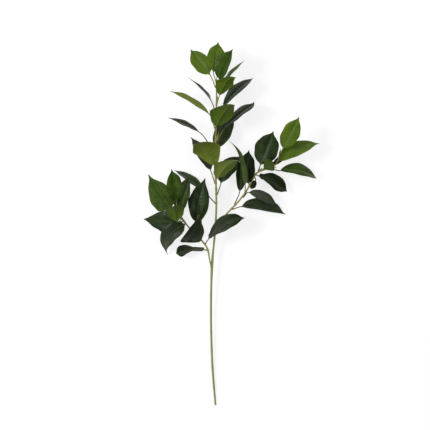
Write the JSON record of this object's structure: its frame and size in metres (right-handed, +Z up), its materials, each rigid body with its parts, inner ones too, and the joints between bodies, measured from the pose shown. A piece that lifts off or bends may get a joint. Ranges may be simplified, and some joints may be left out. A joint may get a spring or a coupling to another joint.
{
  "type": "banyan branch",
  "caption": "Cut leafy banyan branch lying flat: a long bare stem that forks into two side branches, with pointed oval leaves crowded towards the tips.",
  "frame": {"origin": "middle of the footprint, on the surface that the branch lies on", "axes": "+Y from the cut end towards the growing tips, +Z up from the surface, +X to the right seen from above"},
  "size_m": [0.4312, 0.8896, 0.1634],
  "materials": {
    "bark": "smooth olive bark, satin, yellower at the nodes",
    "leaf_dark": "old leaf, very dark green with a satin waxy upper side and a paler matte underside",
    "leaf_mid": "half-grown leaf, mid green with a satin waxy upper side and a paler matte underside",
    "leaf_light": "young leaf, yellow green with a satin upper side and a paler matte underside"
  },
  "bodies": {
    "root": {"main_stem": "bark", "left_branch": "bark", "right_branch": "bark", "main_leaf_01": "leaf_dark", "main_leaf_02": "leaf_dark", "main_leaf_03": "leaf_light", "main_leaf_04": "leaf_dark", "main_leaf_05": "leaf_light", "main_leaf_06": "leaf_dark", "main_leaf_07": "leaf_dark", "main_leaf_08": "leaf_dark", "main_leaf_09": "leaf_mid", "main_leaf_10": "leaf_light", "main_leaf_11": "leaf_dark", "main_leaf_12": "leaf_dark", "main_leaf_13": "leaf_mid", "main_leaf_14": "leaf_light", "main_leaf_15": "leaf_light", "main_leaf_16": "leaf_mid", "main_leaf_17": "leaf_light", "left_leaf_01": "leaf_dark", "left_leaf_02": "leaf_dark", "left_leaf_03": "leaf_dark", "left_leaf_04": "leaf_dark", "left_leaf_05": "leaf_dark", "left_leaf_06": "leaf_dark", "left_leaf_07": "leaf_mid", "left_leaf_08": "leaf_mid", "left_leaf_09": "leaf_mid", "left_leaf_10": "leaf_mid", "right_leaf_01": "leaf_dark", "right_leaf_02": "leaf_dark", "right_leaf_03": "leaf_dark", "right_leaf_04": "leaf_mid", "right_leaf_05": "leaf_dark", "right_leaf_06": "leaf_dark", "right_leaf_07": "leaf_dark", "right_leaf_08": "leaf_dark", "right_leaf_09": "leaf_mid", "right_leaf_10": "leaf_mid", "right_leaf_11": "leaf_dark", "right_leaf_12": "leaf_light", "right_leaf_13": "leaf_light"}
  },
  "joints": []
}
